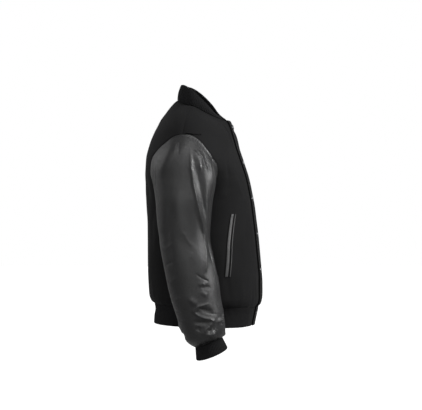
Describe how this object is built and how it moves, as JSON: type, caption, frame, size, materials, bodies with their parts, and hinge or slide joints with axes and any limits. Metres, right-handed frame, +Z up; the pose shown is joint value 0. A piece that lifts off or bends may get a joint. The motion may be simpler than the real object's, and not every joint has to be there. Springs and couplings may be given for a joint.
{
  "type": "varsity jacket",
  "caption": "Worn black varsity jacket: wool body, set-in leather sleeves, rib collar, cuffs and hem, slanted welt pockets, snap front.",
  "frame": {"origin": "the shoulders mount: the base of the wearer's neck, on the middle plane between the ends of the shoulder seams", "axes": "+X to the wearer's left, -Y out of the front, +Z up; the jacket is as worn"},
  "size_m": [0.6682, 0.3215, 0.7445],
  "materials": {
    "wool": "black melton wool, brushed and matte",
    "leather": "black smooth leather with a soft sheen",
    "knit": "black wool rib knit, matte",
    "leather_trim": "black leather binding with a soft sheen",
    "snap_metal": "gunmetal plated snap cap"
  },
  "bodies": {
    "root": {"back": "wool", "front_right": "wool", "front_left": "wool", "collar": "knit", "hem_rib": "knit", "hem_tab_right": "wool", "hem_tab_left": "wool", "sleeve_top_right": "leather", "sleeve_under_right": "leather", "cuff_right": "knit", "pocket_welt_right": "leather_trim", "pocket_lip_right": "leather_trim", "sleeve_top_left": "leather", "sleeve_under_left": "leather", "cuff_left": "knit", "pocket_welt_left": "leather_trim", "pocket_lip_left": "leather_trim", "snap_1": "snap_metal", "snap_2": "snap_metal", "snap_3": "snap_metal", "snap_4": "snap_metal", "snap_5": "snap_metal", "snap_6": "snap_metal"}
  },
  "joints": []
}
